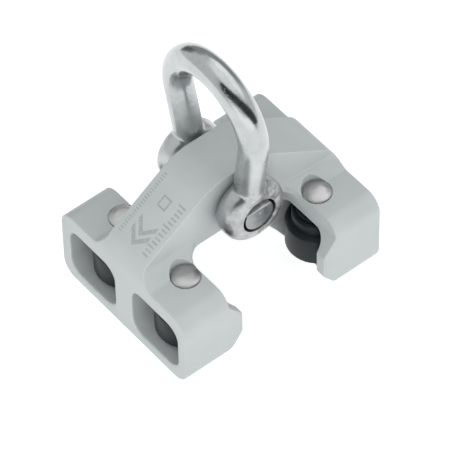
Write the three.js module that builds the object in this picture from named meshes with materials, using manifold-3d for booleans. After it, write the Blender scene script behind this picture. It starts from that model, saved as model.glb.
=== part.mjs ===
// Rail trolley with a bow shackle, in millimetres, +Z up.
// A one-piece aluminium bridge straddles a rail that runs along Y.  Each of its
// two feet holds two rollers on upright pins, which run along the sides of the
// rail, and a bow shackle swings about a pin through the crest of the bridge.
// The origin is the centre of the footprint, at the level of the feet's soles.
import * as THREE from "three";
import * as BufferGeometryUtils from "three/addons/utils/BufferGeometryUtils.js";
import Module from "manifold-3d";

const wasm = await Module();
wasm.setup();

// ---------------------------------------------------------------- driving dimensions
const LENGTH = 82; // body along X, over the two end faces
const WIDTH = 64; // body along Y, over the sides of the feet
const LOBE_TOP = 30.6; // height of the flat tops over the rollers
const CREST = 56.5; // height of the top of the bridge
const CEILING = 31.8; // underside of the bridge over the rail
const WIRE = 10; // diameter of the shackle's bar
const PIN_HEIGHT = 43.7; // shackle pin above the soles
const LEAN = THREE.MathUtils.degToRad(-2); // the shackle's resting lean about its pin

// body outline seen along Y
const SLOPE = THREE.MathUtils.degToRad(34.5); // fall of the bridge's two sloped faces
const SHOULDER = 35.4; // height at which slope and end face would meet
const SHOULDER_RADIUS = 9.5;
const CREST_RADIUS = 18;
const TAB_FACE = 17.0; // half of the gap between the feet's rail faces
const RECESS_FACE = 22.3; // half of the gap above the rail's head
const TAB_TOP = 18.8; // top of the upright rail face
const TAB_CHAMFER = 7.3; // chamfer under the rail face
const TAB_CHAMFER_TOP = 9.8;
const VERTEX_HEIGHT = 25.4; // where the tab's slope meets the recess face

// body outline seen along X
const BEAM_HALF = 9.5; // half the bridge's width
const TOP_FILLET = 6.2; // outer top edge of a lobe
const SOLE_FILLET = 5.8; // outer bottom edge of a foot
const BEAM_FILLET = 5.5; // hollow between bridge and lobe

// pockets and rollers
const POCKET = { y: 16.2, z: 14.05, halfY: 11.8, halfZ: 10.05, radius: 5.3 };
const AXLE = { x: 27.4, y: 16.0 };
const AXLE_RADIUS = 3.0;
const HEAD_RADIUS = 4.9;
const HEAD_RISE = 1.9;
const SPOT_FACE = { radius: 5.3, depth: 0.35 };
const ROLLER = { radius: 10.6, neck: 8.4, low: 6.2, step: 18.4, high: 22.4, round: 1.6 };
const BUSH_OUTER = 5.0;
const WASHER_OUTER = 7.0;
const RUNNING_GAP = 0.15; // radial gap between a pin and what turns on it
const SEAT_GAP = 0.25; // gap between parts that sit against each other

// shackle
const EAR = { centre: 15.1, halfWidth: 5.0, radius: 11.8, round: 3.8 };
const BOW_RADIUS = 19.0;
const BOW_CENTRE = 78.2; // height of the bow's centre above the soles
const BOW_SPREAD = THREE.MathUtils.degToRad(12); // how far each leg leans in
const PIN_RADIUS = 5.0;
const BUSH_WALL = 1.2;
const PIN_HEAD = { radius: 5.6, length: 4.2, recess: 6.5, flatBack: 3.9, flatFront: 2.3 };

const ARC_STEPS = 4; // an arc of an outline gets twice this many segments
const ROUND_STEPS = 32; // segments in a full turn

// ---------------------------------------------------------------- materials
function material(name, color, roughness, metalness) {
  return new THREE.MeshStandardMaterial({ name, color, roughness, metalness });
}
const anodised = material("anodised_aluminium", 0xc3cacb, 0.42, 0.75);
const black_plastic = material("roller_plastic", 0x2b3235, 0.45, 0.0);
const stainless = material("stainless_steel", 0xc9cdd0, 0.2, 1.0);
const bearing_plastic = material("bearing_plastic", 0x2a2c2e, 0.55, 0.0);

// ---------------------------------------------------------------- solids
/** Turns a closed geometry into a solid that can be cut and joined. */
function solid(geometry) {
  const bare = geometry.clone();
  bare.deleteAttribute("normal");
  bare.deleteAttribute("uv");
  const merged = BufferGeometryUtils.mergeVertices(bare, 1e-4);
  return new wasm.Manifold(
    new wasm.Mesh({
      numProp: 3,
      vertProperties: new Float32Array(merged.attributes.position.array),
      triVerts: new Uint32Array(merged.index.array),
    }),
  );
}

/** Turns a solid back into a geometry for a mesh. */
function geometryOf(shape) {
  const data = shape.getMesh();
  const geometry = new THREE.BufferGeometry();
  geometry.setAttribute("position", new THREE.BufferAttribute(data.vertProperties, 3));
  geometry.setIndex(new THREE.BufferAttribute(data.triVerts, 1));
  geometry.computeVertexNormals();
  return geometry;
}

/** Extrudes an outline symmetrically; its own axis is then turned onto the named axis. */
function extrudeAlong(shape, axis, from, to, steps = ARC_STEPS) {
  const settings = { depth: to - from, bevelEnabled: false, curveSegments: steps };
  const geometry = new THREE.ExtrudeGeometry(shape, settings);
  geometry.translate(0, 0, from);
  if (axis === "x") {
    geometry.rotateX(Math.PI / 2);
    geometry.rotateZ(Math.PI / 2);
  }
  if (axis === "y") geometry.rotateX(Math.PI / 2);
  return geometry;
}

/** A cylinder along Z or Y, from a low end to a high end. */
function rod(radius, from, to, steps = ROUND_STEPS) {
  const geometry = new THREE.CylinderGeometry(radius, radius, to - from, steps);
  geometry.rotateX(Math.PI / 2);
  geometry.translate(0, 0, (from + to) / 2);
  return geometry;
}

/** A body of revolution about Z from points [radius, height], counter-clockwise and closed. */
function turned(points, steps = ROUND_STEPS) {
  const profile = points.map(([radius, height]) => new THREE.Vector2(radius, height));
  const geometry = new THREE.LatheGeometry(profile, steps);
  geometry.rotateX(Math.PI / 2);
  return geometry;
}

/** Points of a circular arc, for a turned profile. */
function arcPoints(centreR, centreZ, radius, fromDeg, toDeg, steps) {
  const points = [];
  for (let i = 0; i <= steps; i += 1) {
    const angle = THREE.MathUtils.degToRad(fromDeg + ((toDeg - fromDeg) * i) / steps);
    points.push([centreR + radius * Math.cos(angle), centreZ + radius * Math.sin(angle)]);
  }
  return points;
}

// ---------------------------------------------------------------- trolley body
/** Rounds the corners of a polygon: each point may carry a fillet radius. */
function roundedOutline(corners) {
  const shape = new THREE.Shape();
  const count = corners.length;
  corners.forEach(([x, y, radius = 0], i) => {
    const here = new THREE.Vector2(x, y);
    const before = new THREE.Vector2(...corners[(i + count - 1) % count].slice(0, 2));
    const after = new THREE.Vector2(...corners[(i + 1) % count].slice(0, 2));
    const toBefore = before.sub(here).normalize();
    const toAfter = after.sub(here).normalize();
    if (radius === 0) {
      if (i === 0) shape.moveTo(x, y);
      else shape.lineTo(x, y);
      return;
    }
    const halfAngle = Math.acos(THREE.MathUtils.clamp(toBefore.dot(toAfter), -1, 1)) / 2;
    const reach = radius / Math.tan(halfAngle);
    const start = here.clone().addScaledVector(toBefore, reach);
    const toCentre = toBefore.clone().add(toAfter).normalize();
    const centre = here.clone().addScaledVector(toCentre, radius / Math.sin(halfAngle));
    const end = here.clone().addScaledVector(toAfter, reach);
    const fromAngle = Math.atan2(start.y - centre.y, start.x - centre.x);
    const toAngle = Math.atan2(end.y - centre.y, end.x - centre.x);
    const clockwise = toBefore.cross(toAfter) > 0;
    if (i === 0) shape.moveTo(start.x, start.y);
    else shape.lineTo(start.x, start.y);
    shape.absarc(centre.x, centre.y, radius, fromAngle, toAngle, clockwise);
  });
  shape.closePath();
  return shape;
}

/** Outline of the bridge and its feet seen along Y. */
function archOutline() {
  const half = LENGTH / 2;
  const crestCorner = half - (CREST - SHOULDER) / Math.tan(SLOPE);
  const rightSide = [
    [RECESS_FACE, CEILING, CEILING - VERTEX_HEIGHT - 0.4],
    [RECESS_FACE, VERTEX_HEIGHT],
    [TAB_FACE, TAB_TOP],
    [TAB_FACE, TAB_CHAMFER_TOP, 2],
    [TAB_FACE + TAB_CHAMFER, 0, 3],
    [half, 0],
    [half, SHOULDER, SHOULDER_RADIUS],
    [crestCorner, CREST, CREST_RADIUS],
  ];
  const leftSide = rightSide.map(([x, z, radius = 0]) => [-x, z, radius]).reverse();
  return roundedOutline([...rightSide, ...leftSide]);
}

/** Outline of the lobes and the bridge between them seen along X. */
function lobeOutline() {
  const half = WIDTH / 2;
  const rightSide = [
    [half, 0, SOLE_FILLET],
    [half, LOBE_TOP, TOP_FILLET],
    [BEAM_HALF, LOBE_TOP, BEAM_FILLET],
    [BEAM_HALF, CREST + 10],
  ];
  const leftSide = rightSide.map(([y, z, radius = 0]) => [-y, z, radius]).reverse();
  return roundedOutline([...rightSide, ...leftSide]);
}

/** The space beside the bridge, seen from above, between the lobes of the two feet. */
function gapOutline(side) {
  const corners = [
    [-RECESS_FACE, side * BEAM_HALF, BEAM_FILLET],
    [RECESS_FACE, side * BEAM_HALF, BEAM_FILLET],
    [RECESS_FACE, side * WIDTH],
    [-RECESS_FACE, side * WIDTH],
  ];
  return roundedOutline(side > 0 ? corners : corners.reverse());
}

/** Rounded rectangle of one roller pocket seen along X. */
function pocketOutline(side) {
  const { y, z, halfY, halfZ, radius } = POCKET;
  return roundedOutline([
    [side * y - halfY, z - halfZ, radius],
    [side * y + halfY, z - halfZ, radius],
    [side * y + halfY, z + halfZ, radius],
    [side * y - halfY, z + halfZ, radius],
  ]);
}

const CORNERS = [
  { name: "front_right", x: -AXLE.x, y: -AXLE.y },
  { name: "front_left", x: -AXLE.x, y: AXLE.y },
  { name: "rear_right", x: AXLE.x, y: -AXLE.y },
  { name: "rear_left", x: AXLE.x, y: AXLE.y },
];

function makeBody() {
  const arch = extrudeAlong(archOutline(), "y", -WIDTH / 2 - 5, WIDTH / 2 + 5);
  const lobes = extrudeAlong(lobeOutline(), "x", -LENGTH / 2 - 5, LENGTH / 2 + 5);
  let body = solid(arch).intersect(solid(lobes));
  for (const side of [-1, 1]) {
    const gap = extrudeAlong(gapOutline(side), "z", VERTEX_HEIGHT, CREST + 5);
    body = body.subtract(solid(gap));
    const pocket = extrudeAlong(pocketOutline(side), "x", -LENGTH, LENGTH);
    body = body.subtract(solid(pocket));
  }
  for (const corner of CORNERS) {
    const bore = rod(AXLE_RADIUS + RUNNING_GAP, -1, CREST);
    const spot = rod(SPOT_FACE.radius, LOBE_TOP - SPOT_FACE.depth, CREST - 8);
    body = body.subtract(solid(bore.translate(corner.x, corner.y, 0)));
    body = body.subtract(solid(spot.translate(corner.x, corner.y, 0)));
  }
  const cross = rod(PIN_RADIUS + BUSH_WALL + SEAT_GAP, -WIDTH, WIDTH);
  cross.rotateX(Math.PI / 2).translate(0, 0, PIN_HEIGHT);
  return body.subtract(solid(cross));
}

// ---------------------------------------------------------------- roller sets
const BUSH_BORE = AXLE_RADIUS + RUNNING_GAP;
const POCKET_FLOOR = POCKET.z - POCKET.halfZ;
const POCKET_ROOF = POCKET.z + POCKET.halfZ;

/** Plastic roller: a tall running band, a rounded shoulder and a narrower neck. */
function makeRoller() {
  const { radius, neck, low, step, high, round } = ROLLER;
  const bore = BUSH_OUTER + 0.05;
  return turned([
    [bore, low],
    [radius - 0.8, low],
    [radius, low + 0.8],
    [radius, step - round],
    ...arcPoints(radius - round, step - round, round, 30, 90, 2),
    [neck + 0.8, step],
    [neck, step + 0.8],
    [neck, high - 0.8],
    [neck - 0.8, high],
    [bore, high],
    [bore, low],
  ]);
}

/** Bearing bush pressed into the roller; it turns on the axle pin. */
function makeRollerBush() {
  const { low, high } = ROLLER;
  return turned([
    [BUSH_BORE, low - 0.2],
    [BUSH_OUTER - 0.05, low - 0.2],
    [BUSH_OUTER - 0.05, high + 0.2],
    [BUSH_BORE, high + 0.2],
    [BUSH_BORE, low - 0.2],
  ]);
}

/** Thrust washer between the roller and a wall of its pocket. */
function makeWasher(from, to) {
  return turned([
    [BUSH_BORE, from],
    [WASHER_OUTER, from],
    [WASHER_OUTER, to],
    [BUSH_BORE, to],
    [BUSH_BORE, from],
  ]);
}

/** Stainless axle pin with a domed head above and a riveted end flush with the sole. */
function makeAxlePin() {
  const seat = LOBE_TOP - SPOT_FACE.depth + 0.05;
  const rimTop = seat + 0.7;
  const rise = HEAD_RISE - 0.7;
  const domeRadius = (HEAD_RADIUS ** 2 + rise ** 2) / (2 * rise);
  const edgeDeg = THREE.MathUtils.radToDeg(Math.acos(HEAD_RADIUS / domeRadius));
  const dome = arcPoints(0, rimTop + rise - domeRadius, domeRadius, edgeDeg, 90, 5);
  dome.pop();
  return turned([
    [0, 0.05],
    [AXLE_RADIUS - 0.4, 0.05],
    [AXLE_RADIUS, 0.45],
    [AXLE_RADIUS, seat],
    [HEAD_RADIUS, seat],
    ...dome,
    [0, seat + HEAD_RISE],
  ]);
}

// ---------------------------------------------------------------- shackle
/** Centre line of the bow, from one ear over the top to the other. */
function bowPath() {
  const legTopY = BOW_RADIUS * Math.cos(BOW_SPREAD);
  const legTopZ = BOW_CENTRE - BOW_RADIUS * Math.sin(BOW_SPREAD);
  const earY = EAR.centre + 0.2;
  const legFootZ = legTopZ - (legTopY - earY) / Math.tan(BOW_SPREAD);
  const points = [];
  points.push(new THREE.Vector3(0, -earY, PIN_HEIGHT + 7.2));
  points.push(new THREE.Vector3(0, -earY, legFootZ));
  const steps = 22;
  for (let i = 0; i <= steps; i += 1) {
    const angle = -BOW_SPREAD + ((Math.PI + 2 * BOW_SPREAD) * i) / steps;
    const y = -BOW_RADIUS * Math.cos(angle);
    const z = BOW_CENTRE + BOW_RADIUS * Math.sin(angle);
    points.push(new THREE.Vector3(0, y, z));
  }
  points.push(new THREE.Vector3(0, earY, legFootZ));
  points.push(new THREE.Vector3(0, earY, PIN_HEIGHT + 7.2));
  return new THREE.CatmullRomCurve3(points, false, "centripetal");
}

/** Round eye at the end of a leg, about the pin's axis. */
function makeEye(side) {
  const { centre, halfWidth, radius, round } = EAR;
  const inner = centre - halfWidth;
  const outer = centre + halfWidth;
  const bore = PIN_RADIUS + 0.1;
  const eye = turned([
    [bore, inner],
    ...arcPoints(radius - round, inner + round, round, -90, 0, 4),
    ...arcPoints(radius - round, outer - round, round, 0, 90, 4),
    [bore, outer],
    [bore, inner],
  ]);
  return eye.rotateX(side > 0 ? -Math.PI / 2 : Math.PI / 2);
}

function makeBow() {
  const section = new THREE.Shape();
  section.absarc(0, 0, WIRE / 2, 0, 2 * Math.PI, false);
  const settings = { steps: 44, curveSegments: 8, extrudePath: bowPath(), bevelEnabled: false };
  let bow = solid(new THREE.ExtrudeGeometry(section, settings));
  for (const side of [-1, 1]) {
    bow = bow.add(solid(makeEye(side).translate(0, 0, PIN_HEIGHT)));
  }
  const bore = rod(PIN_RADIUS + 0.1, -WIDTH, WIDTH);
  bow = bow.subtract(solid(bore.rotateX(Math.PI / 2).translate(0, 0, PIN_HEIGHT)));
  const outer = EAR.centre + EAR.halfWidth;
  const recess = rod(PIN_HEAD.recess, -outer - 1, -outer + PIN_HEAD.length + 0.2);
  recess.rotateX(-Math.PI / 2).translate(0, 0, PIN_HEIGHT);
  return bow.subtract(solid(recess));
}

/** Shackle pin: a head sunk in one eye with a sloping flat across its top, a flush end in the other. */
function makeShacklePin() {
  const outer = EAR.centre + EAR.halfWidth;
  const headBase = outer - PIN_HEAD.length;
  const shank = turned([
    [0, -outer + 0.2],
    [PIN_RADIUS - 0.5, -outer + 0.2],
    [PIN_RADIUS, -outer + 0.7],
    [PIN_RADIUS, headBase + 0.5],
    [0, headBase + 0.5],
  ]);
  const head = rod(PIN_HEAD.radius, headBase, outer - 0.1);
  const wedge = new THREE.Shape();
  wedge.moveTo(headBase + 0.5, PIN_HEAD.flatBack);
  wedge.lineTo(outer, PIN_HEAD.flatFront);
  wedge.lineTo(outer, PIN_HEAD.radius + 1);
  wedge.lineTo(headBase + 0.5, PIN_HEAD.radius + 1);
  const reach = PIN_HEAD.radius + 1;
  const flat = new THREE.ExtrudeGeometry(wedge, { depth: 2 * reach, bevelEnabled: false });
  flat.translate(0, 0, -reach).rotateY(-Math.PI / 2);
  const pin = solid(shank).add(solid(head)).subtract(solid(flat));
  return geometryOf(pin).rotateX(Math.PI / 2).translate(0, 0, PIN_HEIGHT);
}

/** Sleeve in the bridge's cross bore, which the shackle pin turns in. */
function makePinBush() {
  const bush = turned([
    [PIN_RADIUS + RUNNING_GAP, -BEAM_HALF + 0.1],
    [PIN_RADIUS + BUSH_WALL, -BEAM_HALF + 0.1],
    [PIN_RADIUS + BUSH_WALL, BEAM_HALF - 0.1],
    [PIN_RADIUS + RUNNING_GAP, BEAM_HALF - 0.1],
    [PIN_RADIUS + RUNNING_GAP, -BEAM_HALF + 0.1],
  ]);
  return bush.rotateX(Math.PI / 2).translate(0, 0, PIN_HEIGHT);
}

// ---------------------------------------------------------------- assembly
function addMesh(group, name, geometry, finish) {
  const mesh = new THREE.Mesh(geometry, finish);
  mesh.name = name;
  group.add(mesh);
  return mesh;
}

const trolley = new THREE.Group();
addMesh(trolley, "trolley_body", geometryOf(makeBody()), anodised);
addMesh(trolley, "shackle_pin_bush", makePinBush(), bearing_plastic);

for (const corner of CORNERS) {
  const rollerSet = new THREE.Group();
  rollerSet.position.set(corner.x, corner.y, 0);
  const { low, high } = ROLLER;
  const lowerWasher = makeWasher(POCKET_FLOOR + SEAT_GAP, low - 0.2 - SEAT_GAP);
  const upperWasher = makeWasher(high + 0.2 + SEAT_GAP, POCKET_ROOF - SEAT_GAP);
  addMesh(rollerSet, `roller_${corner.name}`, makeRoller(), black_plastic);
  addMesh(rollerSet, `roller_bush_${corner.name}`, makeRollerBush(), bearing_plastic);
  addMesh(rollerSet, `axle_pin_${corner.name}`, makeAxlePin(), stainless);
  addMesh(rollerSet, `lower_washer_${corner.name}`, lowerWasher, stainless);
  addMesh(rollerSet, `upper_washer_${corner.name}`, upperWasher, stainless);
  trolley.add(rollerSet);
}

// The shackle is drawn upright and then leans about its pin.
const shackle = new THREE.Group();
const leaning = new THREE.Group();
leaning.position.set(0, 0, -PIN_HEIGHT);
addMesh(leaning, "shackle_bow", geometryOf(makeBow()), stainless);
addMesh(leaning, "shackle_pin", makeShacklePin(), stainless);
shackle.add(leaning);
shackle.position.set(0, 0, PIN_HEIGHT);
shackle.rotation.y = LEAN;
trolley.add(shackle);

export default trolley;
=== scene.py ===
import math
import bpy
from mathutils import Matrix, Vector


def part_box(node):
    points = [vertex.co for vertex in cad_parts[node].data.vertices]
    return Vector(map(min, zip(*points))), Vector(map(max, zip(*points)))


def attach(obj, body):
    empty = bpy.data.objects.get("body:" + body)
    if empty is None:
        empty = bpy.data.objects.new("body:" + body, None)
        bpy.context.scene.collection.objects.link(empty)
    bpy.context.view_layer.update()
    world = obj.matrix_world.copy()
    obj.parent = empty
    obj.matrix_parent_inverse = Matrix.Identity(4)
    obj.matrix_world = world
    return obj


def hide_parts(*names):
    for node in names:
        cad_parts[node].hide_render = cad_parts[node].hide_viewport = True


# Rail trolley with a bow shackle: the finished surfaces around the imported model.
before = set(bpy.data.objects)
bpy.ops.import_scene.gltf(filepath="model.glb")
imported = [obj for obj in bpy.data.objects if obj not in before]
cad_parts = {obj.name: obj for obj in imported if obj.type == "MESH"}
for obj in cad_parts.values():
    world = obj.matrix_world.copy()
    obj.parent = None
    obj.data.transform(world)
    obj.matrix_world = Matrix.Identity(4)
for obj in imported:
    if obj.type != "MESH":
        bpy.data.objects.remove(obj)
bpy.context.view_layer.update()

# Pieces are drawn in millimetres and brought to metres when they are finished.
MM = 1000.0
METRE = 0.001


def box_mm(node):
    """Lowest and highest corner of a CAD node, in millimetres."""
    low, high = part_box(node)
    return low * MM, high * MM


def middle_of(node):
    """The middle of a CAD node's box, in millimetres."""
    low, high = box_mm(node)
    return (low + high) / 2


# ------------------------------------------------------------------ sizes, millimetres
# The bridge: its outline seen along Y, its lobes seen along X, and its pockets.
BODY_HIGH = box_mm("trolley_body")[1]
HALF_LENGTH = BODY_HIGH.x
HALF_WIDTH = BODY_HIGH.y
CREST = BODY_HIGH.z
LOBE_TOP = 30.6
CEILING = 31.8
SLOPE = math.radians(34.5)
SHOULDER = 35.6
SHOULDER_RADIUS = 9.5
CREST_RADIUS = 18.0
TAB_FACE = 17.0
TAB_TOP = 18.8
TAB_CHAMFER = 7.3
TAB_CHAMFER_TOP = 9.8
RECESS_FACE = 22.3
VERTEX_HEIGHT = 25.4
RECESS_RADIUS = 6.0
BEAM_HALF = 9.5
TOP_FILLET = 6.2
SOLE_FILLET = 5.8
BEAM_FILLET = 5.5
POCKET_LOW = Vector((-50.0, 4.4, 4.0))
POCKET_HIGH = Vector((50.0, 28.0, 24.1))
POCKET_RADIUS = 5.3
WINDOW_CHAMFER = 0.45
SPOT_RADIUS = 5.25
SPOT_FLOOR = 30.25
SOLE_ROUND = 3.2
TAB_ROUND = 0.7
AXLE_BORE_RADIUS = 3.15
BUSH_CLEARANCE = 0.25
# How the bridge's edges are broken, and slivers merged before that.
EDGE_BREAK = 0.5
EDGE_BREAK_ANGLE = math.radians(38)
SLIVER = 0.05
TRIM = (0.9991, 0.9999, 0.9999)
TRIM_CENTRE = (0, 0, 20)
# How far tools reach past what they cut, and the slack for picking faces by place.
OVERSIZE = 5.0
OVERCUT = 1.0
MARGIN = 0.1
# The shackle: bar, legs, eyes and pin.
PIN_HEIGHT = 43.7
LEAN = math.radians(-2)
WIRE_RADIUS = 5.0
BOW_RADIUS = 18.96
BOW_CENTRE = 78.2
LEG_SPREAD = math.radians(9.5)
LEG_BEND = 25.0
LEG_START = 3.0
EYE_CENTRE = 15.1
LEG_OFFSET = 15.3
EYE_HALF_WIDTH = 4.98
EYE_OUTER = EYE_CENTRE + EYE_HALF_WIDTH
EYE_RADIUS = 11.8
EYE_ROUND = 3.8
EYE_RECESS = 6.4
EYE_RECESS_DEPTH = 4.4
EYE_RECESS_ROUND = 0.8
EYE_LIP_DEPTH = 0.88
EYE_LIP_FLARE = 1.12
FORGING_VOXEL = 0.42
PIN_RADIUS = 5.0
PIN_CLEARANCE = 0.1
PIN_FAR_INSET = 0.25
PIN_NEAR_INSET = 0.05
PIN_EDGE_BREAK = 0.25
PIN_EDGE_BREAK_ANGLE = math.radians(40)
PIN_HEAD_RADIUS = 5.6
PIN_HEAD_FLAT = 2.3
PIN_HEAD_SLOPE = 1.4
PIN_HEAD_STEP = 0.6
PIN_HEAD_LENGTH = 4.2
CENTRE_MARK_RADIUS = 1.1
CENTRE_MARK_DEPTH = 0.5
CENTRE_MARK_TAPER = 0.35
CENTRE_MARK_PLACE = (0, 0.6)
# The rollers, and the axle pins with their domed heads.
ROLLER_RADIUS = 10.6
ROLLER_NECK = 8.4
ROLLER_LOW = 6.2
ROLLER_STEP = 18.4
ROLLER_HIGH = 22.4
ROLLER_SHOULDER_ROUND = 1.6
ROLLER_FOOT_ROUND = 0.7
NECK_TOP_ROUND = 0.8
NECK_FOOT_ROUND = 0.35
BUSH_SEAT = 5.0
HEAD_SEAT = 30.3
HEAD_RADIUS = 4.9
HEAD_RIM = 0.55
HEAD_RISE = 1.9
HEAD_SIDES = 64
HEAD_RINGS = 9
# The share of a ring that stays flat in the middle of the dome.
HEAD_CENTRE_RINGS = 0.4
SHANK_RADIUS = 3.0
SHANK_FOOT = 0.05
SHANK_OVERLAP = 0.2
AXLE_EDGE_BREAK = 0.22
AXLE_EDGE_BREAK_ANGLE = math.radians(50)
CORNERS = ("front_right", "front_left", "rear_right", "rear_left")


# ------------------------------------------------------------------ modelling helpers
def only(obj):
    """Makes obj the one selected, active object."""
    bpy.ops.object.select_all(action="DESELECT")
    obj.select_set(True)
    bpy.context.view_layer.objects.active = obj


def named(name):
    """Names the object that was just added, and its mesh."""
    obj = bpy.context.object
    obj.name = name
    obj.data.name = name
    return obj


def add_block(name, low, high):
    """A box between two corners."""
    low, high = Vector(low), Vector(high)
    bpy.ops.mesh.primitive_cube_add(size=1, location=(low + high) / 2)
    block = named(name)
    block.scale = high - low
    bpy.ops.object.transform_apply(location=True, rotation=True, scale=True)
    return block


def add_rod(name, radius, low, high, at=(0, 0), sides=96):
    """An upright cylinder from a low to a high end."""
    place = (*at, (low + high) / 2)
    depth = high - low
    bpy.ops.mesh.primitive_cylinder_add(vertices=sides, radius=radius, depth=depth, location=place)
    rod = named(name)
    bpy.ops.object.transform_apply(location=True, rotation=True, scale=True)
    return rod


def pick(obj, kind, test):
    """Selects the faces, edges or vertices of obj that pass a test of their place."""
    only(obj)
    mesh = obj.data
    bpy.context.tool_settings.mesh_select_mode = (kind == "VERT", kind == "EDGE", kind == "FACE")
    for part in (mesh.vertices, mesh.edges, mesh.polygons):
        part.foreach_set("select", [False] * len(part))
    if kind == "VERT":
        for vertex in mesh.vertices:
            vertex.select = bool(test(vertex.co))
    if kind == "EDGE":
        for edge in mesh.edges:
            ends = [mesh.vertices[i].co for i in edge.vertices]
            edge.select = bool(test(*ends))
    if kind == "FACE":
        for face in mesh.polygons:
            face.select = bool(test(face.center, face.normal))


def edit(obj, kind, test, *steps):
    """Selects parts of obj and runs edit-mode operators on them, each given with its settings."""
    pick(obj, kind, test)
    bpy.ops.object.mode_set(mode="EDIT")
    for operator, settings in steps:
        operator(**settings)
    bpy.ops.object.mode_set(mode="OBJECT")


def everything(*_):
    return True


def bisect(obj, point, normal, cut_away=False):
    """Cuts obj by a plane, and takes away the side that the normal points to if asked."""
    settings = {"plane_co": point, "plane_no": normal, "use_fill": cut_away, "clear_outer": cut_away}
    edit(obj, "FACE", everything, (bpy.ops.mesh.bisect, settings))


def round_edges(obj, test, reach, segments=12):
    """Bevels the edges that pass the test; reach is how far the round runs from the edge."""
    settings = {"offset": reach, "segments": segments, "profile": 0.5, "clamp_overlap": False}
    edit(obj, "EDGE", test, (bpy.ops.mesh.bevel, settings))


def near(value, target, slack=0.02):
    return abs(value - target) < slack


def edge_at(**planes):
    """A test for edges whose two ends both lie at the given coordinates, such as x=9.5, z=30."""
    axes = {"x": 0, "y": 1, "z": 2, "abs_x": 0, "abs_y": 1}

    def test(a, b):
        for key, target in planes.items():
            for end in (a, b):
                value = end[axes[key]]
                if key.startswith("abs"):
                    value = abs(value)
                if not near(value, target):
                    return False
        return True

    return test


def apply_modifier(obj, kind, **settings):
    only(obj)
    modifier = obj.modifiers.new(kind.lower(), kind)
    for key, value in settings.items():
        setattr(modifier, key, value)
    bpy.ops.object.modifier_apply(modifier=modifier.name)


def combine(obj, tool, operation):
    """Cuts obj with a tool, joins them or keeps what they share; the tool is then thrown away."""
    apply_modifier(obj, "BOOLEAN", operation=operation, object=tool, solver="EXACT")
    bpy.data.objects.remove(tool)
    return obj


def merge_doubles(obj):
    """Merges doubles and points the faces outwards."""
    edit(
        obj, "FACE", everything,
        (bpy.ops.mesh.remove_doubles, {"threshold": 0.002}),
        (bpy.ops.mesh.normals_make_consistent, {"inside": False}),
    )


def tidy_surface(obj, merge=0.002):
    """Merges doubles, dissolves what is flat and points the faces outwards."""
    edit(
        obj, "FACE", everything,
        (bpy.ops.mesh.remove_doubles, {"threshold": merge}),
        (bpy.ops.mesh.dissolve_limited, {"angle_limit": math.radians(0.5)}),
        (bpy.ops.mesh.normals_make_consistent, {"inside": False}),
    )


def break_edges(obj, width, angle, clamp=True):
    """Bevels every edge that is sharper than an angle."""
    apply_modifier(
        obj, "BEVEL", width=width, segments=3, limit_method="ANGLE", angle_limit=angle,
        use_clamp_overlap=clamp,
    )


def finish_piece(obj, body, material, replaced=(), smooth_angle=32):
    """Brings a piece to metres, smooths its shading and hands it to the frame."""
    only(obj)
    bpy.ops.object.shade_smooth_by_angle(angle=math.radians(smooth_angle))
    obj.scale = (METRE, METRE, METRE)
    bpy.ops.object.transform_apply(location=True, rotation=True, scale=True)
    obj.data.materials.clear()
    obj.data.materials.append(material)
    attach(obj, body)
    if replaced:
        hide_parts(*replaced)
    return obj


# ------------------------------------------------------------------ node helpers
class Graph:
    """Builds a node tree by short calls; inputs go in by socket name or number."""

    def __init__(self, tree):
        self.tree = tree
        self.column = 0

    def node(self, kind, inputs=None, **settings):
        node = self.tree.nodes.new(kind)
        node.location = (self.column * 180, 0)
        self.column += 1
        for key, value in settings.items():
            setattr(node, key, value)
        for key, value in (inputs or {}).items():
            if isinstance(value, bpy.types.NodeSocket):
                self.tree.links.new(value, node.inputs[key])
            else:
                node.inputs[key].default_value = value
        return node

    def math(self, operation, a, b=0.0, c=0.0):
        return self.node("ShaderNodeMath", {0: a, 1: b, 2: c}, operation=operation).outputs[0]

    def noise(self, vector, scale, detail=3.0, roughness=0.5):
        inputs = {"Vector": vector, "Scale": scale, "Detail": detail, "Roughness": roughness}
        return self.node("ShaderNodeTexNoise", inputs).outputs["Fac"]

    def ramp(self, value, low, high):
        """Maps low..high to 0..1, held at both ends."""
        inputs = {"Value": value, "From Min": low, "From Max": high}
        return self.node("ShaderNodeMapRange", inputs, clamp=True).outputs["Result"]

    def mix(self, factor, a, b, clamp=True):
        """Blends two colours; the node tells its colour sockets apart only by number."""
        inputs = {0: factor, 6: a, 7: b}
        node = self.node("ShaderNodeMix", inputs, data_type="RGBA", clamp_factor=clamp)
        return node.outputs[2]

    def stretch(self, vector, scale):
        inputs = {"Vector": vector, "Scale": scale}
        return self.node("ShaderNodeMapping", inputs).outputs["Vector"]

    def split(self, vector):
        return self.node("ShaderNodeSeparateXYZ", {"Vector": vector}).outputs

    def vector_math(self, operation, a, b=(0, 0, 0)):
        return self.node("ShaderNodeVectorMath", {0: a, 1: b}, operation=operation).outputs

    def normal(self):
        return self.node("ShaderNodeNewGeometry").outputs["Normal"]


def new_group(name, inputs, outputs):
    """A shader node group with named sockets: each is (name, kind, default or None)."""
    tree = bpy.data.node_groups.new(name, "ShaderNodeTree")
    for label, kind, default in inputs:
        socket = tree.interface.new_socket(name=label, in_out="INPUT", socket_type=kind)
        if default is not None:
            socket.default_value = default
    for label, kind in outputs:
        tree.interface.new_socket(name=label, in_out="OUTPUT", socket_type=kind)
    graph = Graph(tree)
    graph.inside = graph.node("NodeGroupInput").outputs
    graph.result = graph.node("NodeGroupOutput").inputs
    return graph


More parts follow.
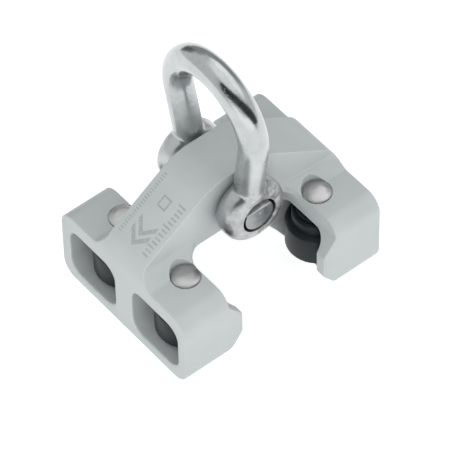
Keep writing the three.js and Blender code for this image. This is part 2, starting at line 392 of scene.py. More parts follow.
def make_edge_group():
    """A mask that is 1 on outer edges, broken up by noise; the materials lighten these edges partly as
    wear and partly as a painted highlight.
    """
    g = new_group(
        "edge wear and highlight",
        [("Vector", "NodeSocketVector", None), ("Width", "NodeSocketFloat", 0.0006)],
        [("Mask", "NodeSocketFloat")],
    )
    rounded = g.node("ShaderNodeBevel", {"Radius": g.inside["Width"]}, samples=6)
    dot = g.vector_math("DOT_PRODUCT", rounded.outputs["Normal"], g.normal())["Value"]
    turned = g.math("SUBTRACT", 1.0, dot)
    mask = g.ramp(turned, 0.02, 0.22)
    broken = g.ramp(g.noise(g.inside["Vector"], 900.0, 4.0, 0.6), 0.3, 0.75)
    g.tree.links.new(g.math("MULTIPLY", mask, broken), g.result["Mask"])
    return g.tree


def make_grain_group():
    """Fine blasted grain: a height, and a slow cloud for colour and gloss."""
    g = new_group(
        "surface grain",
        [("Vector", "NodeSocketVector", None), ("Scale", "NodeSocketFloat", 1500.0)],
        [("Height", "NodeSocketFloat"), ("Cloud", "NodeSocketFloat")],
    )
    fine = g.noise(g.inside["Vector"], g.inside["Scale"], 3.0, 0.6)
    coarse_scale = g.math("MULTIPLY", g.inside["Scale"], 0.2)
    coarse = g.noise(g.inside["Vector"], coarse_scale, 2.0, 0.5)
    height = g.math("ADD", g.math("MULTIPLY", fine, 0.7), g.math("MULTIPLY", coarse, 0.3))
    cloud_scale = g.math("MULTIPLY", g.inside["Scale"], 0.03)
    cloud = g.noise(g.inside["Vector"], cloud_scale, 4.0, 0.55)
    g.tree.links.new(height, g.result["Height"])
    g.tree.links.new(g.ramp(cloud, 0.3, 0.7), g.result["Cloud"])
    return g.tree


def make_scratch_group():
    """Thin straight rubs along one direction, as a mask."""
    g = new_group(
        "fine rubs",
        [("Vector", "NodeSocketVector", None), ("Amount", "NodeSocketFloat", 0.5)],
        [("Mask", "NodeSocketFloat")],
    )
    lines = g.noise(g.stretch(g.inside["Vector"], (60.0, 2600.0, 2600.0)), 1.0, 2.0, 0.5)
    where = g.ramp(g.noise(g.inside["Vector"], 90.0, 2.0, 0.5), 0.45, 0.7)
    mask = g.math("MULTIPLY", g.ramp(lines, 0.62, 0.72), where)
    g.tree.links.new(g.math("MULTIPLY", mask, g.inside["Amount"]), g.result["Mask"])
    return g.tree


GROUPS = {}


def group(g, name, **inputs):
    """Places one of the shared groups in a material."""
    makers = {"edge": make_edge_group, "grain": make_grain_group, "rubs": make_scratch_group}
    if name not in GROUPS:
        GROUPS[name] = makers[name]()
    return g.node("ShaderNodeGroup", inputs, node_tree=GROUPS[name]).outputs


def new_material(name, **constants):
    """A material with its own Principled shader, whose constants sit on the shader's sockets."""
    material = bpy.data.materials.new(name)
    material.use_nodes = True
    graph = Graph(material.node_tree)
    graph.shader = material.node_tree.nodes["Principled BSDF"]
    for key, value in constants.items():
        graph.shader.inputs[key.replace("_", " ")].default_value = value
    graph.place = graph.node("ShaderNodeTexCoord").outputs["Object"]
    graph.material = material
    return graph


def feed(graph, **sockets):
    """Links values that change over the surface to the material's own shader."""
    for key, value in sockets.items():
        graph.tree.links.new(value, graph.shader.inputs[key.replace("_", " ")])


def bump(graph, height, distance, strength, normal=None):
    """A normal shaped by a height in metres, on top of another normal if given."""
    inputs = {"Height": height, "Distance": distance, "Strength": strength}
    node = graph.node("ShaderNodeBump", inputs)
    if normal is not None:
        graph.tree.links.new(normal, node.inputs["Normal"])
    return node.outputs["Normal"]


# ------------------------------------------------------------------ materials
def slope_marks(g):
    """A mask of plain etched marks on the front slope: tick rules, two chevrons and a square."""
    place = g.split(g.place)
    along = g.math("MULTIPLY", place["X"], -MM / math.cos(SLOPE))
    across = g.math("MULTIPLY", place["Y"], MM)
    facing = g.split(g.normal())
    on_slope = g.math("LESS_THAN", facing["X"], -0.4)
    upward = g.math("GREATER_THAN", facing["Z"], 0.6)
    side = g.math("MULTIPLY", on_slope, upward)

    def band(value, low, high):
        above = g.math("GREATER_THAN", value, low)
        return g.math("MULTIPLY", above, g.math("LESS_THAN", value, high))

    def ticks(row, spacing, share, half_height, start, end):
        """A row of ticks across the slope; share is how much of the spacing a tick fills."""
        phase = g.math("FRACT", g.math("DIVIDE", along, spacing))
        stripe = g.math("LESS_THAN", phase, share)
        row_band = band(across, row - half_height, row + half_height)
        return g.math("MULTIPLY", g.math("MULTIPLY", stripe, row_band), band(along, start, end))

    def chevron(tip, width=2.1, half_span=4.2):
        slanted = g.math("ADD", along, g.math("ABSOLUTE", across))
        return g.math("MULTIPLY", band(slanted, tip, tip + width), band(across, -half_span, half_span))

    def square(start, end, near_side, far_side):
        return g.math("MULTIPLY", band(along, start, end), band(across, near_side, far_side))

    total = ticks(-6.3, 1.6, 0.42, 1.25, 24.0, 44.8)
    long_ticks = ticks(-5.9, 8.0, 0.085, 1.7, 24.0, 44.8)
    far_rule = ticks(6.9, 1.1, 0.45, 0.75, 19.5, 43.6)
    outline = g.math("SUBTRACT", square(25.0, 29.4, -1.7, 2.3), square(25.7, 28.7, -1.0, 1.6))
    for extra in (long_ticks, far_rule, chevron(38.5), chevron(42.2), outline):
        total = g.math("MAXIMUM", total, extra)
    worn = g.ramp(g.noise(g.place, 1400.0, 3.0, 0.6), 0.25, 0.5)
    return g.math("MULTIPLY", g.math("MULTIPLY", total, side), worn)


def anodised_aluminium():
    g = new_material("anodised aluminium marked", Metallic=0.06, IOR=1.5)
    grain = group(g, "grain", Vector=g.place, Scale=2200.0)
    edge = group(g, "edge", Vector=g.place, Width=0.0006)["Mask"]
    rubs = group(g, "rubs", Vector=g.place, Amount=0.5)["Mask"]
    colour = g.mix(grain["Cloud"], (0.425, 0.450, 0.450, 1), (0.460, 0.485, 0.485, 1))
    # Lighter outer edges: partly wear, partly a painted highlight.
    colour = g.mix(edge, colour, (0.68, 0.71, 0.71, 1))
    colour = g.mix(g.math("MULTIPLY", rubs, 0.3), colour, (0.64, 0.66, 0.66, 1))
    roughness = g.math("ADD", 0.5, g.math("MULTIPLY", grain["Cloud"], 0.06))
    marks = slope_marks(g)
    colour = g.mix(g.math("MULTIPLY", marks, 0.85), colour, (0.31, 0.32, 0.32, 1))
    roughness = g.math("ADD", roughness, g.math("MULTIPLY", marks, 0.15))
    height = g.math("SUBTRACT", grain["Height"], g.math("MULTIPLY", marks, 0.6))
    feed(g, Base_Color=colour, Roughness=roughness, Normal=bump(g, height, 0.00003, 0.35))
    return g.material


def black_plastic():
    g = new_material("black roller plastic", Specular_IOR_Level=0.2)
    grain = group(g, "grain", Vector=g.place, Scale=1800.0)
    edge = group(g, "edge", Vector=g.place, Width=0.0004)["Mask"]
    lines_per_metre = 2600.0
    turning = g.math("SINE", g.math("MULTIPLY", g.split(g.place)["Z"], 2 * math.pi * lines_per_metre))
    colour = g.mix(grain["Cloud"], (0.007, 0.010, 0.012, 1), (0.011, 0.016, 0.018, 1))
    # Lighter outer edges: partly wear, partly a painted highlight.
    colour = g.mix(g.math("MULTIPLY", edge, 0.5), colour, (0.045, 0.05, 0.054, 1))
    roughness = g.math("ADD", 0.34, g.math("MULTIPLY", grain["Cloud"], 0.12))
    height = g.math("ADD", grain["Height"], g.math("MULTIPLY", turning, 0.25))
    feed(g, Base_Color=colour, Roughness=roughness, Normal=bump(g, height, 0.00003, 0.3))
    return g.material


def bearing_plastic():
    g = new_material("bearing plastic darkened as painted shade", IOR=1.5)
    grain = group(g, "grain", Vector=g.place, Scale=1600.0)
    # The plastic is painted dark grey as shade: the bushes sit deep inside the rollers and the body.
    colour = g.mix(grain["Cloud"], (0.03, 0.032, 0.034, 1), (0.045, 0.048, 0.05, 1))
    roughness = g.math("ADD", 0.45, g.math("MULTIPLY", grain["Cloud"], 0.1))
    feed(g, Base_Color=colour, Roughness=roughness, Normal=bump(g, grain["Height"], 0.00004, 0.4))
    return g.material


def satin_steel():
    g = new_material("satin axle steel", Metallic=1.0)
    grain = group(g, "grain", Vector=g.place, Scale=1500.0)
    edge = group(g, "edge", Vector=g.place, Width=0.0003)["Mask"]
    colour = g.mix(grain["Cloud"], (0.46, 0.455, 0.45, 1), (0.56, 0.56, 0.555, 1))
    # Lighter outer edges: partly wear, partly a painted highlight.
    colour = g.mix(g.math("MULTIPLY", edge, 0.6), colour, (0.8, 0.8, 0.79, 1))
    roughness = g.math("ADD", 0.30, g.math("MULTIPLY", grain["Cloud"], 0.12))
    uneven = g.noise(g.place, 420.0, 3.0, 0.6)
    normal = bump(g, uneven, 0.0003, 0.6)
    feed(g, Base_Color=colour, Roughness=roughness, Normal=bump(g, grain["Height"], 0.00004, 0.5, normal))
    return g.material


def polished_steel(name, tarnish_and_shade_amount, paint_end_face_shade=False):
    """Worked steel, duller low down and tarnished around the eyes; on the pin the end face is darkened
    instead, mostly as painted shade with a little mottled tarnish.
    """
    g = new_material(name, Metallic=1.0)
    grain = group(g, "grain", Vector=g.place, Scale=1300.0)
    edge = group(g, "edge", Vector=g.place, Width=0.0004)["Mask"]
    rubs = group(g, "rubs", Vector=g.place, Amount=0.7)["Mask"]
    cloud = g.ramp(g.noise(g.place, 85.0, 4.0, 0.6), 0.35, 0.7)
    pits = g.ramp(g.noise(g.place, 1500.0, 2.0, 0.5), 0.62, 0.74)
    pitted = g.math("MULTIPLY", pits, g.ramp(g.noise(g.place, 140.0, 2.0, 0.5), 0.5, 0.62))
    colour = g.mix(cloud, (0.455, 0.472, 0.476, 1), (0.55, 0.566, 0.57, 1))
    colour = g.mix(g.math("MULTIPLY", pitted, 0.6), colour, (0.3, 0.3, 0.3, 1))
    # Lighter outer edges: partly wear, partly a painted highlight.
    colour = g.mix(g.math("MULTIPLY", edge, 0.4), colour, (0.72, 0.73, 0.73, 1))
    place = g.split(g.place)
    low = g.ramp(place["Z"], 0.092, 0.068)
    around_eyes = g.ramp(place["Z"], 0.064, 0.050)
    outside = g.ramp(g.math("ABSOLUTE", place["Y"]), 0.0150, 0.0185)
    mottled = g.ramp(g.noise(g.place, 380.0, 5.0, 0.7), 0.32, 0.62)
    tarnish_and_shade = g.math("MULTIPLY", g.math("MULTIPLY", around_eyes, outside), mottled)
    stain_and_shade_colour = (0.12, 0.115, 0.112, 1)
    # On the pin, the end faces are darkened as painted shade, picked by the way they face, with a little
    # mottled tarnish on top.
    if paint_end_face_shade:
        end_face = g.ramp(g.math("ABSOLUTE", g.split(g.normal())["Y"]), 0.7, 0.9)
        tarnish_and_shade = g.math("MULTIPLY", g.math("MULTIPLY_ADD", tarnish_and_shade, 0.3, 0.75), end_face)
        stain_and_shade_colour = (0.075, 0.082, 0.09, 1)
    # The darkening is weighted heavier towards +X and lighter towards -X.
    sided = g.math("MULTIPLY_ADD", g.ramp(place["X"], -0.006, 0.002), 0.6, 0.4)
    tarnish_and_shade = g.math("MULTIPLY", g.math("MULTIPLY", tarnish_and_shade, sided), tarnish_and_shade_amount)
    colour = g.mix(tarnish_and_shade, colour, stain_and_shade_colour)
    roughness = 0.14
    for mask, amount in ((low, 0.12), (cloud, 0.07), (tarnish_and_shade, 0.15), (rubs, 0.12)):
        roughness = g.math("ADD", roughness, g.math("MULTIPLY", mask, amount))
    worked = g.noise(g.place, 260.0, 3.0, 0.55)
    normal = bump(g, worked, 0.0005, 0.14)
    height = g.math("SUBTRACT", g.math("MULTIPLY", grain["Height"], 0.25), pitted)
    feed(g, Base_Color=colour, Roughness=roughness, Normal=bump(g, height, 0.00006, 0.6, normal))
    return g.material


ALUMINIUM = anodised_aluminium()
ROLLER_BLACK = black_plastic()
BEARING = bearing_plastic()
AXLE_STEEL = satin_steel()
SHACKLE_STEEL = polished_steel("polished shackle steel", 0.95)
PIN_STEEL = polished_steel("pin steel with painted end-face shade", 0.9, paint_end_face_shade=True)


# ------------------------------------------------------------------ trolley body
def make_arch():
    """The bridge seen along Y: two slopes, a rounded crest and the rail channel."""
    reach = HALF_WIDTH + OVERSIZE
    arch = add_block("arch", (-HALF_LENGTH, -reach, 0), (HALF_LENGTH, reach, CREST))
    for side in (-1, 1):
        normal = (side * math.sin(SLOPE), 0, math.cos(SLOPE))
        bisect(arch, (side * HALF_LENGTH, 0, SHOULDER), normal, cut_away=True)
    crest_corner = HALF_LENGTH - (CREST - SHOULDER) / math.tan(SLOPE)
    crest_round = CREST_RADIUS * math.tan(SLOPE / 2)
    round_edges(arch, edge_at(abs_x=crest_corner, z=CREST), crest_round, segments=10)
    shoulder_round = SHOULDER_RADIUS * math.tan((math.pi / 2 - SLOPE) / 2)
    round_edges(arch, edge_at(abs_x=HALF_LENGTH, z=SHOULDER), shoulder_round, segments=8)
    combine(arch, make_channel(), "DIFFERENCE")
    sole_corner = TAB_FACE + TAB_CHAMFER
    round_edges(arch, edge_at(abs_x=sole_corner, z=0), SOLE_ROUND, segments=8)
    return arch


def make_channel():
    """The space for the rail: narrow between the tabs, wider above them."""
    reach = HALF_WIDTH + 2 * OVERSIZE
    channel = add_block("channel", (-TAB_FACE, -reach, -OVERSIZE), (TAB_FACE, reach, CEILING))
    for height in (TAB_CHAMFER_TOP, TAB_TOP, VERTEX_HEIGHT):
        bisect(channel, (0, 0, height), (0, 0, 1))
    bottom = TAB_FACE + TAB_CHAMFER * (TAB_CHAMFER_TOP + OVERSIZE) / TAB_CHAMFER_TOP
    widen = (bpy.ops.transform.resize, {"value": (RECESS_FACE / TAB_FACE, 1, 1)})
    edit(channel, "VERT", lambda v: v.z > VERTEX_HEIGHT - MARGIN, widen)
    flare = (bpy.ops.transform.resize, {"value": (bottom / TAB_FACE, 1, 1)})
    edit(channel, "VERT", lambda v: v.z < 0, flare)
    round_edges(channel, edge_at(abs_x=RECESS_FACE, z=CEILING), RECESS_RADIUS, segments=12)
    round_edges(channel, edge_at(abs_x=TAB_FACE, z=TAB_CHAMFER_TOP), TAB_ROUND, segments=4)
    return channel


def make_lobes():
    """The lobes seen along X, with the bridge standing up between them."""
    reach = HALF_LENGTH + OVERSIZE
    lobes = add_block("lobes", (-reach, -HALF_WIDTH, 0), (reach, HALF_WIDTH, LOBE_TOP))
    for side in (-1, 1):
        bisect(lobes, (0, side * BEAM_HALF, 0), (0, 1, 0))
    rise = {"TRANSFORM_OT_translate": {"value": (0, 0, CREST + OVERSIZE - LOBE_TOP)}}
    extrude = (bpy.ops.mesh.extrude_region_move, rise)
    edit(lobes, "FACE", lambda c, n: n.z > 0.9 and abs(c.y) < BEAM_HALF, extrude)
    round_edges(lobes, edge_at(abs_y=BEAM_HALF, z=LOBE_TOP), BEAM_FILLET, segments=9)
    round_edges(lobes, edge_at(abs_y=HALF_WIDTH, z=LOBE_TOP), TOP_FILLET, segments=9)
    round_edges(lobes, edge_at(abs_y=HALF_WIDTH, z=0), SOLE_FILLET, segments=9)
    return lobes


def make_side_gap(side):
    """The space beside the bridge between the lobes of the two feet."""
    ends = sorted((side * BEAM_HALF, side * (HALF_WIDTH + 2 * OVERSIZE)))
    low = (-RECESS_FACE, ends[0], VERTEX_HEIGHT)
    gap = add_block("gap", low, (RECESS_FACE, ends[1], CREST + OVERSIZE))
    round_edges(gap, edge_at(abs_x=RECESS_FACE, y=side * BEAM_HALF), BEAM_FILLET, segments=9)
    return gap


def make_pocket(side):
    """The room for one pair of rollers, flared a little at the end windows."""
    pocket = add_block("pocket", POCKET_LOW, POCKET_HIGH)

    def lengthwise(a, b):
        return abs(a.x - b.x) > 1

    round_edges(pocket, lengthwise, POCKET_RADIUS, segments=9)
    middle = (POCKET_LOW + POCKET_HIGH) / 2
    for place in (HALF_LENGTH - WINDOW_CHAMFER, HALF_LENGTH):
        for end in (-1, 1):
            bisect(pocket, (end * place, 0, 0), (1, 0, 0))
    half = (POCKET_HIGH - POCKET_LOW) / 2
    flare = (1, 1 + WINDOW_CHAMFER / half.y, 1 + WINDOW_CHAMFER / half.z)
    widen = (bpy.ops.transform.resize, {"value": flare, "center_override": middle})
    edit(pocket, "VERT", lambda v: abs(v.x) > HALF_LENGTH - MARGIN, widen)
    if side < 0:
        only(pocket)
        bpy.ops.transform.mirror(constraint_axis=(False, True, False), center_override=(0, 0, 0))
        bpy.ops.object.transform_apply(location=True, rotation=True, scale=True)
        tidy = (bpy.ops.mesh.normals_make_consistent, {"inside": False})
        edit(pocket, "FACE", everything, tidy)
    return pocket


def make_body():
    """The bridge with its gaps, pockets and bores, its outer edges broken before the axle seats."""
    body = combine(make_arch(), make_lobes(), "INTERSECT")
    for side in (-1, 1):
        combine(body, make_side_gap(side), "DIFFERENCE")
    tidy_surface(body)
    for side in (-1, 1):
        combine(body, make_pocket(side), "DIFFERENCE")
    combine(body, make_cross_bore(), "DIFFERENCE")
    tidy_surface(body, SLIVER)
    break_edges(body, EDGE_BREAK, EDGE_BREAK_ANGLE, clamp=False)
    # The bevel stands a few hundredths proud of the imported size, so the body is trimmed to it.
    trim = {"value": TRIM, "center_override": TRIM_CENTRE}
    edit(body, "VERT", everything, (bpy.ops.transform.resize, trim))
    for corner in CORNERS:
        at = middle_of(f"axle_pin_{corner}").xy
        combine(body, add_rod("spot_face", SPOT_RADIUS, SPOT_FLOOR, CREST, at), "DIFFERENCE")
        bore = add_rod("axle_bore", AXLE_BORE_RADIUS, -OVERCUT, SPOT_FLOOR + OVERCUT, at, 48)
        combine(body, bore, "DIFFERENCE")
    tidy_surface(body)
    return body


def make_cross_bore():
    """The bore for the pin's bush, along Y through the crest."""
    low, high = box_mm("shackle_pin_bush")
    radius = (high.z - low.z) / 2 + BUSH_CLEARANCE
    bore = add_rod("cross_bore", radius, -HALF_WIDTH, HALF_WIDTH, sides=64)
    only(bore)
    bpy.ops.transform.rotate(value=math.pi / 2, orient_axis="X", center_override=(0, 0, 0))
    bpy.ops.transform.translate(value=(0, 0, (low.z + high.z) / 2))
    bpy.ops.object.transform_apply(location=True, rotation=True, scale=True)
    return bore


body = finish_piece(make_body(), "trolley", ALUMINIUM, ["trolley_body"])
body.name = "bridge_body"
weighted = body.modifiers.new("weighted", "WEIGHTED_NORMAL")
weighted.keep_sharp = True
only(body)
bpy.ops.object.modifier_apply(modifier="weighted")


# ------------------------------------------------------------------ rollers and axle pins
def make_roller():
    """One roller on its own axis: running band, rounded shoulder and neck, bored for its bush."""
    roller = add_rod("roller", ROLLER_RADIUS, ROLLER_LOW, ROLLER_STEP)

    def top(c, n):
        return n.z > 0.9 and near(c.z, ROLLER_STEP)

    step_in = (bpy.ops.mesh.inset, {"thickness": ROLLER_RADIUS - ROLLER_NECK})
    rise = {"TRANSFORM_OT_translate": {"value": (0, 0, ROLLER_HIGH - ROLLER_STEP)}}
    edit(roller, "FACE", top, step_in, (bpy.ops.mesh.extrude_region_move, rise))

    def rim(radius, height):
        def on_rim(v):
            return near(math.hypot(v.x, v.y), radius, 0.05) and near(v.z, height)

        return lambda a, b: on_rim(a) and on_rim(b)

    round_edges(roller, rim(ROLLER_RADIUS, ROLLER_STEP), ROLLER_SHOULDER_ROUND, segments=8)
    round_edges(roller, rim(ROLLER_RADIUS, ROLLER_LOW), ROLLER_FOOT_ROUND, segments=4)
    round_edges(roller, rim(ROLLER_NECK, ROLLER_HIGH), NECK_TOP_ROUND, segments=5)
    round_edges(roller, rim(ROLLER_NECK, ROLLER_STEP), NECK_FOOT_ROUND, segments=3)
    seat = add_rod("bush_seat", BUSH_SEAT, ROLLER_LOW - OVERCUT, ROLLER_HIGH + OVERCUT, sides=64)
    combine(roller, seat, "DIFFERENCE")
    tidy_surface(roller)
    return roller


def make_axle_pin():
    """One axle pin on its own axis: a shank, and a head domed by insets that follow a sphere."""
    pin = add_rod("axle_pin", HEAD_RADIUS, HEAD_SEAT, HEAD_SEAT + HEAD_RIM, sides=HEAD_SIDES)
    rise = HEAD_RISE - HEAD_RIM
    dome_radius = (HEAD_RADIUS ** 2 + rise ** 2) / (2 * rise)

    def dome_height(radius):
        """Height of the dome above its rim, at a distance from the axis."""
        return math.sqrt(dome_radius ** 2 - radius ** 2) - math.sqrt(dome_radius ** 2 - HEAD_RADIUS ** 2)

    for ring in range(HEAD_RINGS):
        here = HEAD_RADIUS * (1 - ring / HEAD_RINGS)
        there = HEAD_RADIUS * (1 - (ring + 1) / (HEAD_RINGS + HEAD_CENTRE_RINGS))
        level = HEAD_SEAT + HEAD_RIM + dome_height(here)

        def cap(c, n):
            return n.z > 0.9 and math.hypot(c.x, c.y) < MARGIN and c.z > level - MARGIN

        inset = (here - there) * math.cos(math.pi / HEAD_SIDES)
        edit(
            pin, "FACE", cap,
            (bpy.ops.mesh.inset, {"thickness": inset}),
            (bpy.ops.transform.translate, {"value": (0, 0, dome_height(there) - dome_height(here))}),
        )
    shank = add_rod("shank", SHANK_RADIUS, SHANK_FOOT, HEAD_SEAT + SHANK_OVERLAP, sides=48)
    combine(pin, shank, "UNION")
    tidy_surface(pin)
    break_edges(pin, AXLE_EDGE_BREAK, AXLE_EDGE_BREAK_ANGLE)
    return pin


def copy_to_corner(model, node, name):
    """A copy of a turned piece, with its own mesh, on the axis of a CAD node."""
    middle = middle_of(node)
    only(model)
    bpy.ops.object.duplicate(linked=False)
    piece = named(name)
    bpy.ops.transform.translate(value=(middle.x, middle.y, 0))
    bpy.ops.object.transform_apply(location=True, rotation=True, scale=True)
    return piece


roller_model = make_roller()
axle_model = make_axle_pin()
for corner in CORNERS:
    wheel = copy_to_corner(roller_model, f"roller_{corner}", f"black_roller_{corner}")
    finish_piece(wheel, f"roller_set_{corner}", ROLLER_BLACK, [f"roller_{corner}"])
    axle = copy_to_corner(axle_model, f"axle_pin_{corner}", f"riveted_axle_{corner}")
    finish_piece(axle, "trolley", AXLE_STEEL, [f"axle_pin_{corner}"])
bpy.data.objects.remove(roller_model)
bpy.data.objects.remove(axle_model)


# ------------------------------------------------------------------ shackle
def lay_across(obj, height):
    """Turns an upright piece onto the Y axis, top end towards -Y, and lifts it to a height."""
    only(obj)
    obj.rotation_euler = (math.pi / 2, 0, 0)
    bpy.ops.object.transform_apply(location=True, rotation=True, scale=True)
    obj.location.z = height
    bpy.ops.object.transform_apply(location=True, rotation=True, scale=True)
    return obj


def lean(obj):
    """Leans a shackle piece about the pin's axis, as the shackle rests."""
    only(obj)
    obj.location = (0, 0, -PIN_HEIGHT)
    bpy.ops.object.transform_apply(location=True, rotation=True, scale=True)
    obj.rotation_euler = (0, LEAN, 0)
    bpy.ops.object.transform_apply(location=True, rotation=True, scale=True)
    obj.location = (0, 0, PIN_HEIGHT)
    bpy.ops.object.transform_apply(location=True, rotation=True, scale=True)
    return obj


def make_bow_bar():
    """A round bar extruded and spun up one leg, over the bow and down the other."""
    sine, cosine = math.sin(LEG_SPREAD), math.cos(LEG_SPREAD)
    length = (BOW_RADIUS * cosine - LEG_OFFSET - LEG_BEND * (1 - cosine)) / sine
    foot = BOW_CENTRE - (BOW_RADIUS + LEG_BEND) * sine - length * cosine
    base = PIN_HEIGHT + LEG_START
    start = (0, -LEG_OFFSET, base)
    bpy.ops.mesh.primitive_circle_add(
        vertices=48, radius=WIRE_RADIUS, fill_type="NGON", location=start,
    )
    bar = named("shackle_bar")
    bpy.ops.object.transform_apply(location=True, rotation=True, scale=True)
    edit(bar, "FACE", everything, (bpy.ops.mesh.flip_normals, {}))

    def along(y, z):
        return {"TRANSFORM_OT_translate": {"value": (0, y, z)}}

    def turn(steps, angle, y, z):
        return {"steps": steps, "angle": angle, "axis": (1, 0, 0), "center": (0, y, z)}

    edit(
        bar, "FACE", everything,
        (bpy.ops.mesh.extrude_region_move, along(0, foot - base)),
        (bpy.ops.mesh.spin, turn(6, -LEG_SPREAD, -LEG_OFFSET - LEG_BEND, foot)),
        (bpy.ops.mesh.extrude_region_move, along(-length * sine, length * cosine)),
        (bpy.ops.mesh.spin, turn(60, math.pi + 2 * LEG_SPREAD, 0, BOW_CENTRE)),
        (bpy.ops.mesh.extrude_region_move, along(-length * sine, -length * cosine)),
        (bpy.ops.mesh.spin, turn(6, -LEG_SPREAD, LEG_OFFSET + LEG_BEND, foot)),
        (bpy.ops.mesh.extrude_region_move, along(0, base - foot)),
    )
    merge_doubles(bar)
    return bar


def make_eye(side):
    """The thick round eye at the foot of one leg."""
    eye = add_rod("eye", EYE_RADIUS, -EYE_HALF_WIDTH, EYE_HALF_WIDTH, sides=72)

    def rim(a, b):
        return abs(a.z - b.z) < 0.01 and near(abs(a.z), EYE_HALF_WIDTH)

    round_edges(eye, rim, EYE_ROUND, segments=10)
    lay_across(eye, PIN_HEIGHT)
    only(eye)
    bpy.ops.transform.translate(value=(0, side * EYE_CENTRE, 0))
    bpy.ops.object.transform_apply(location=True, rotation=True, scale=True)
    return eye


def make_shackle_bow():
    """The bar and its two eyes blended as one forging, then bored and recessed for the pin."""
    bow = make_bow_bar()
    for side in (-1, 1):
        combine(bow, make_eye(side), "UNION")
    apply_modifier(bow, "REMESH", mode="VOXEL", voxel_size=FORGING_VOXEL, use_smooth_shade=True)
    apply_modifier(bow, "SMOOTH", factor=0.5, iterations=14)
    past = EYE_OUTER + 2 * OVERCUT
    bore = add_rod("pin_bore", PIN_RADIUS + PIN_CLEARANCE, -past, past, sides=64)
    combine(bow, lay_across(bore, PIN_HEIGHT), "DIFFERENCE")
    floor = EYE_OUTER - EYE_RECESS_DEPTH
    recess = add_rod("recess", EYE_RECESS, floor, past, sides=64)
    bisect(recess, (0, 0, EYE_OUTER - EYE_LIP_DEPTH), (0, 0, 1))
    widen = {"value": (EYE_LIP_FLARE, EYE_LIP_FLARE, 1), "center_override": (0, 0, 0)}
    edit(recess, "VERT", lambda v: v.z > EYE_OUTER + MARGIN, (bpy.ops.transform.resize, widen))
    round_edges(recess, lambda a, b: near(a.z, b.z) and near(a.z, floor), EYE_RECESS_ROUND, segments=5)
    combine(bow, lay_across(recess, PIN_HEIGHT), "DIFFERENCE")
    merge_doubles(bow)
    return lean(bow)


def make_shackle_pin():
    """A round shank whose near end is a little thicker and has a flat milled across its top."""
    base = EYE_OUTER - PIN_HEAD_LENGTH
    end = EYE_OUTER - PIN_NEAR_INSET
    pin = add_rod("pin", PIN_RADIUS, PIN_FAR_INSET - EYE_OUTER, base + OVERCUT / 2, sides=64)
    head = add_rod("head", PIN_HEAD_RADIUS, base, end, sides=72)
    combine(pin, head, "UNION")
    low = (-2 * PIN_RADIUS, PIN_HEAD_FLAT, base + PIN_HEAD_STEP)
    high = (2 * PIN_RADIUS, PIN_HEAD_FLAT + OVERSIZE, EYE_OUTER + OVERCUT)
    flat = add_block("milled_flat", low, high)
    raise_back = (bpy.ops.transform.translate, {"value": (0, PIN_HEAD_SLOPE, 0)})
    edit(flat, "VERT", lambda v: v.z < EYE_OUTER and near(v.y, PIN_HEAD_FLAT), raise_back)
    combine(pin, flat, "DIFFERENCE")
    tip, mouth = EYE_OUTER - CENTRE_MARK_DEPTH, EYE_OUTER + OVERCUT
    mark = add_rod("centre_mark", CENTRE_MARK_RADIUS, tip, mouth, CENTRE_MARK_PLACE, 32)
    taper = {
        "value": (CENTRE_MARK_TAPER, CENTRE_MARK_TAPER, 1),
        "center_override": (*CENTRE_MARK_PLACE, 0),
    }
    edit(mark, "VERT", lambda v: v.z < EYE_OUTER, (bpy.ops.transform.resize, taper))
    combine(pin, mark, "DIFFERENCE")
    tidy_surface(pin)
    break_edges(pin, PIN_EDGE_BREAK, PIN_EDGE_BREAK_ANGLE)
    return lean(lay_across(pin, PIN_HEIGHT))


bow = finish_piece(make_shackle_bow(), "shackle", SHACKLE_STEEL, ["shackle_bow"], 50)
bow.name = "forged_bow"
shackle_pin = finish_piece(make_shackle_pin(), "shackle", PIN_STEEL, ["shackle_pin"])
shackle_pin.name = "flatted_pin"


# ------------------------------------------------------------------ CAD pieces that stay
def dress(node, material):
    """Gives a CAD node a material."""
    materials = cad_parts[node].data.materials
    materials.clear()
    materials.append(material)


for corner in CORNERS:
    dress(f"roller_bush_{corner}", BEARING)
    dress(f"lower_washer_{corner}", AXLE_STEEL)
    # The upper washers get the black roller plastic as painted shade, where they sit in the shade above
    # the rollers.
    dress(f"upper_washer_{corner}", ROLLER_BLACK)
dress("shackle_pin_bush", BEARING)


# ------------------------------------------------------------------ floor, light and camera
# Places and sizes here are in metres, the lens in millimetres and the turns in degrees.
LAMP_TARGET = Vector((0, 0, 0.04))
CAMERA_TURN = (-38.22, 50.68, -1.27)
CAMERA_DISTANCE = 1.3158
CAMERA_ASIDE = 0.001039
CAMERA_ABOVE = 0.0128673
CAMERA_LENS = 319.128
# Name, place, size, power in watts, and whether the metal mirrors it.
LAMPS = (
    ("overhead softbox", (0.45, -0.05, 1.35), (1.8, 1.8), 0.6, True),
    ("front softbox", (-1.15, -0.95, 0.30), (1.3, 0.7), 0.5, False),
    ("left near lamp", (-0.072, -0.055, 0.092), (0.07, 0.07), 0.017, False),
    ("right near lamp", (0.055, -0.080, 0.085), (0.07, 0.07), 0.011, False),
)


def make_floor():
    """A wide pale floor that glows a little, so it stays white under soft light."""
    bpy.ops.mesh.primitive_plane_add(size=6, location=(0, 0, -0.0002))
    floor = named("floor")
    g = new_material("pale floor", Roughness=0.9)
    cloud = g.noise(g.place, 3.0, 3.0, 0.5)
    feed(g, Base_Color=g.mix(cloud, (0.64, 0.645, 0.645, 1), (0.66, 0.665, 0.665, 1)))
    g.shader.inputs["Emission Color"].default_value = (1, 1, 1, 1)
    g.shader.inputs["Emission Strength"].default_value = 0.68
    floor.data.materials.append(g.material)


def add_softbox(name, place, size, power, mirrored):
    """A rectangular lamp aimed at the middle of the trolley."""
    bpy.ops.object.light_add(type="AREA", location=place)
    light = bpy.context.object
    light.name = name
    light.data.shape = "RECTANGLE"
    light.data.size, light.data.size_y = size
    light.data.energy = power
    light.visible_glossy = mirrored
    direction = LAMP_TARGET - Vector(place)
    light.rotation_euler = direction.to_track_quat("-Z", "Y").to_euler()


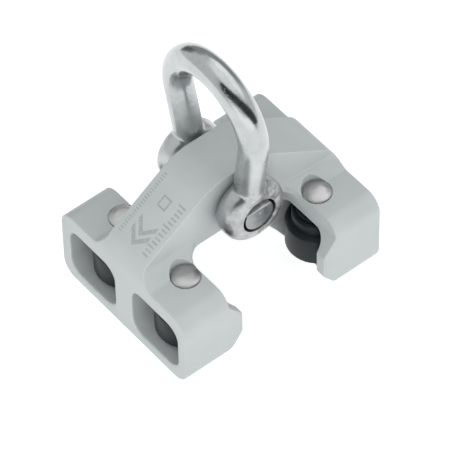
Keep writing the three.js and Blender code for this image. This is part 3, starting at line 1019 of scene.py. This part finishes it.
def make_world():
    """Soft pale surroundings, brightest overhead and low in front, with dark parts to mirror."""
    world = bpy.data.worlds.new("studio")
    bpy.context.scene.world = world
    world.use_nodes = True
    g = Graph(world.node_tree)
    background = world.node_tree.nodes["Background"]
    place = g.node("ShaderNodeTexCoord").outputs["Generated"]
    mirroring = g.node("ShaderNodeLightPath").outputs["Is Glossy Ray"]
    height = g.split(place)["Z"]
    level_part = g.vector_math("MULTIPLY", place, (1, 1, 0))["Vector"]
    heading = g.vector_math("NORMALIZE", level_part)["Vector"]

    def facing(degrees, low, high):
        """1 around a compass heading, fading out between two cosines."""
        angle = math.radians(degrees)
        unit = (math.cos(angle), math.sin(angle), 0)
        return g.ramp(g.vector_math("DOT_PRODUCT", heading, unit)["Value"], low, high)

    def darken(level, mask, depth):
        kept = g.math("SUBTRACT", 1.0, g.math("MULTIPLY", mask, depth))
        return g.math("MULTIPLY", level, kept)

    def lit(level, mask, amount):
        return g.math("ADD", level, g.math("MULTIPLY", mask, amount))

    # A low white card in front, brighter sky overhead.
    low_card = g.math("MULTIPLY", facing(-118, 0.5, 0.85), g.ramp(height, 0.36, 0.26))
    level = lit(0.80, low_card, 0.75)
    level = lit(level, g.ramp(height, 0.80, 0.93), 0.42)
    # A high pale panel to the right that only mirrors, in the bow's shoulder.
    panel = g.math("MULTIPLY", facing(2, 0.40, 0.75), g.ramp(height, 0.55, 0.67))
    panel = g.math("MULTIPLY", panel, g.ramp(height, 0.95, 0.85))
    level = lit(level, g.math("MULTIPLY", panel, mirroring), 0.55)
    # A dark band across the front, leaning down towards one end, that only mirrors.
    across = g.vector_math("DOT_PRODUCT", place, (0.555, 0.520, 0.650))["Value"]
    band = g.math("MULTIPLY", g.ramp(across, -0.42, -0.29), g.ramp(across, 0.26, 0.15))
    band = g.math("MULTIPLY", band, mirroring)
    level = darken(level, g.math("MULTIPLY", facing(-114, 0.30, 0.48), band), 0.96)
    # A dim wall behind, darkest in one narrow stretch.
    wall = g.math("MULTIPLY", facing(42, 0.60, 0.86), g.ramp(height, 0.68, 0.56))
    level = darken(level, wall, 0.55)
    narrow = g.math("MULTIPLY", facing(86, 0.965, 0.99), g.ramp(height, 0.44, 0.30))
    level = darken(level, narrow, 0.75)
    # Levels above 1 are kept, so that the brightest parts stay brighter than white.
    tint = g.mix(level, (0.01, 0.015, 0.018, 1), (0.98, 1.0, 1.0, 1), clamp=False)
    g.tree.links.new(tint, background.inputs["Color"])
    background.inputs["Strength"].default_value = 1.0


def make_camera():
    """A long lens from the front left, well above the trolley."""
    azimuth, elevation, roll = map(math.radians, CAMERA_TURN)
    level = math.cos(elevation)
    back = Vector((math.sin(azimuth) * level, -math.cos(azimuth) * level, math.sin(elevation)))
    right = Vector((math.cos(azimuth), math.sin(azimuth), 0))
    up = back.cross(right)
    turned_right = right * math.cos(roll) + up * math.sin(roll)
    turned_up = up * math.cos(roll) - right * math.sin(roll)
    place = back * CAMERA_DISTANCE + turned_right * CAMERA_ASIDE + turned_up * CAMERA_ABOVE
    camera_data = bpy.data.cameras.new("camera")
    camera = bpy.data.objects.new("camera", camera_data)
    bpy.context.scene.collection.objects.link(camera)
    camera_data.sensor_width = 36.0
    camera_data.lens = CAMERA_LENS
    camera_data.clip_start = 0.05
    camera_data.clip_end = 20.0
    camera.matrix_world = Matrix((
        (turned_right.x, turned_up.x, back.x, place.x),
        (turned_right.y, turned_up.y, back.y, place.y),
        (turned_right.z, turned_up.z, back.z, place.z),
        (0, 0, 0, 1),
    ))
    bpy.context.scene.camera = camera


make_floor()
make_world()
for lamp in LAMPS:
    add_softbox(*lamp)
make_camera()
bpy.context.scene.view_settings.view_transform = "Standard"
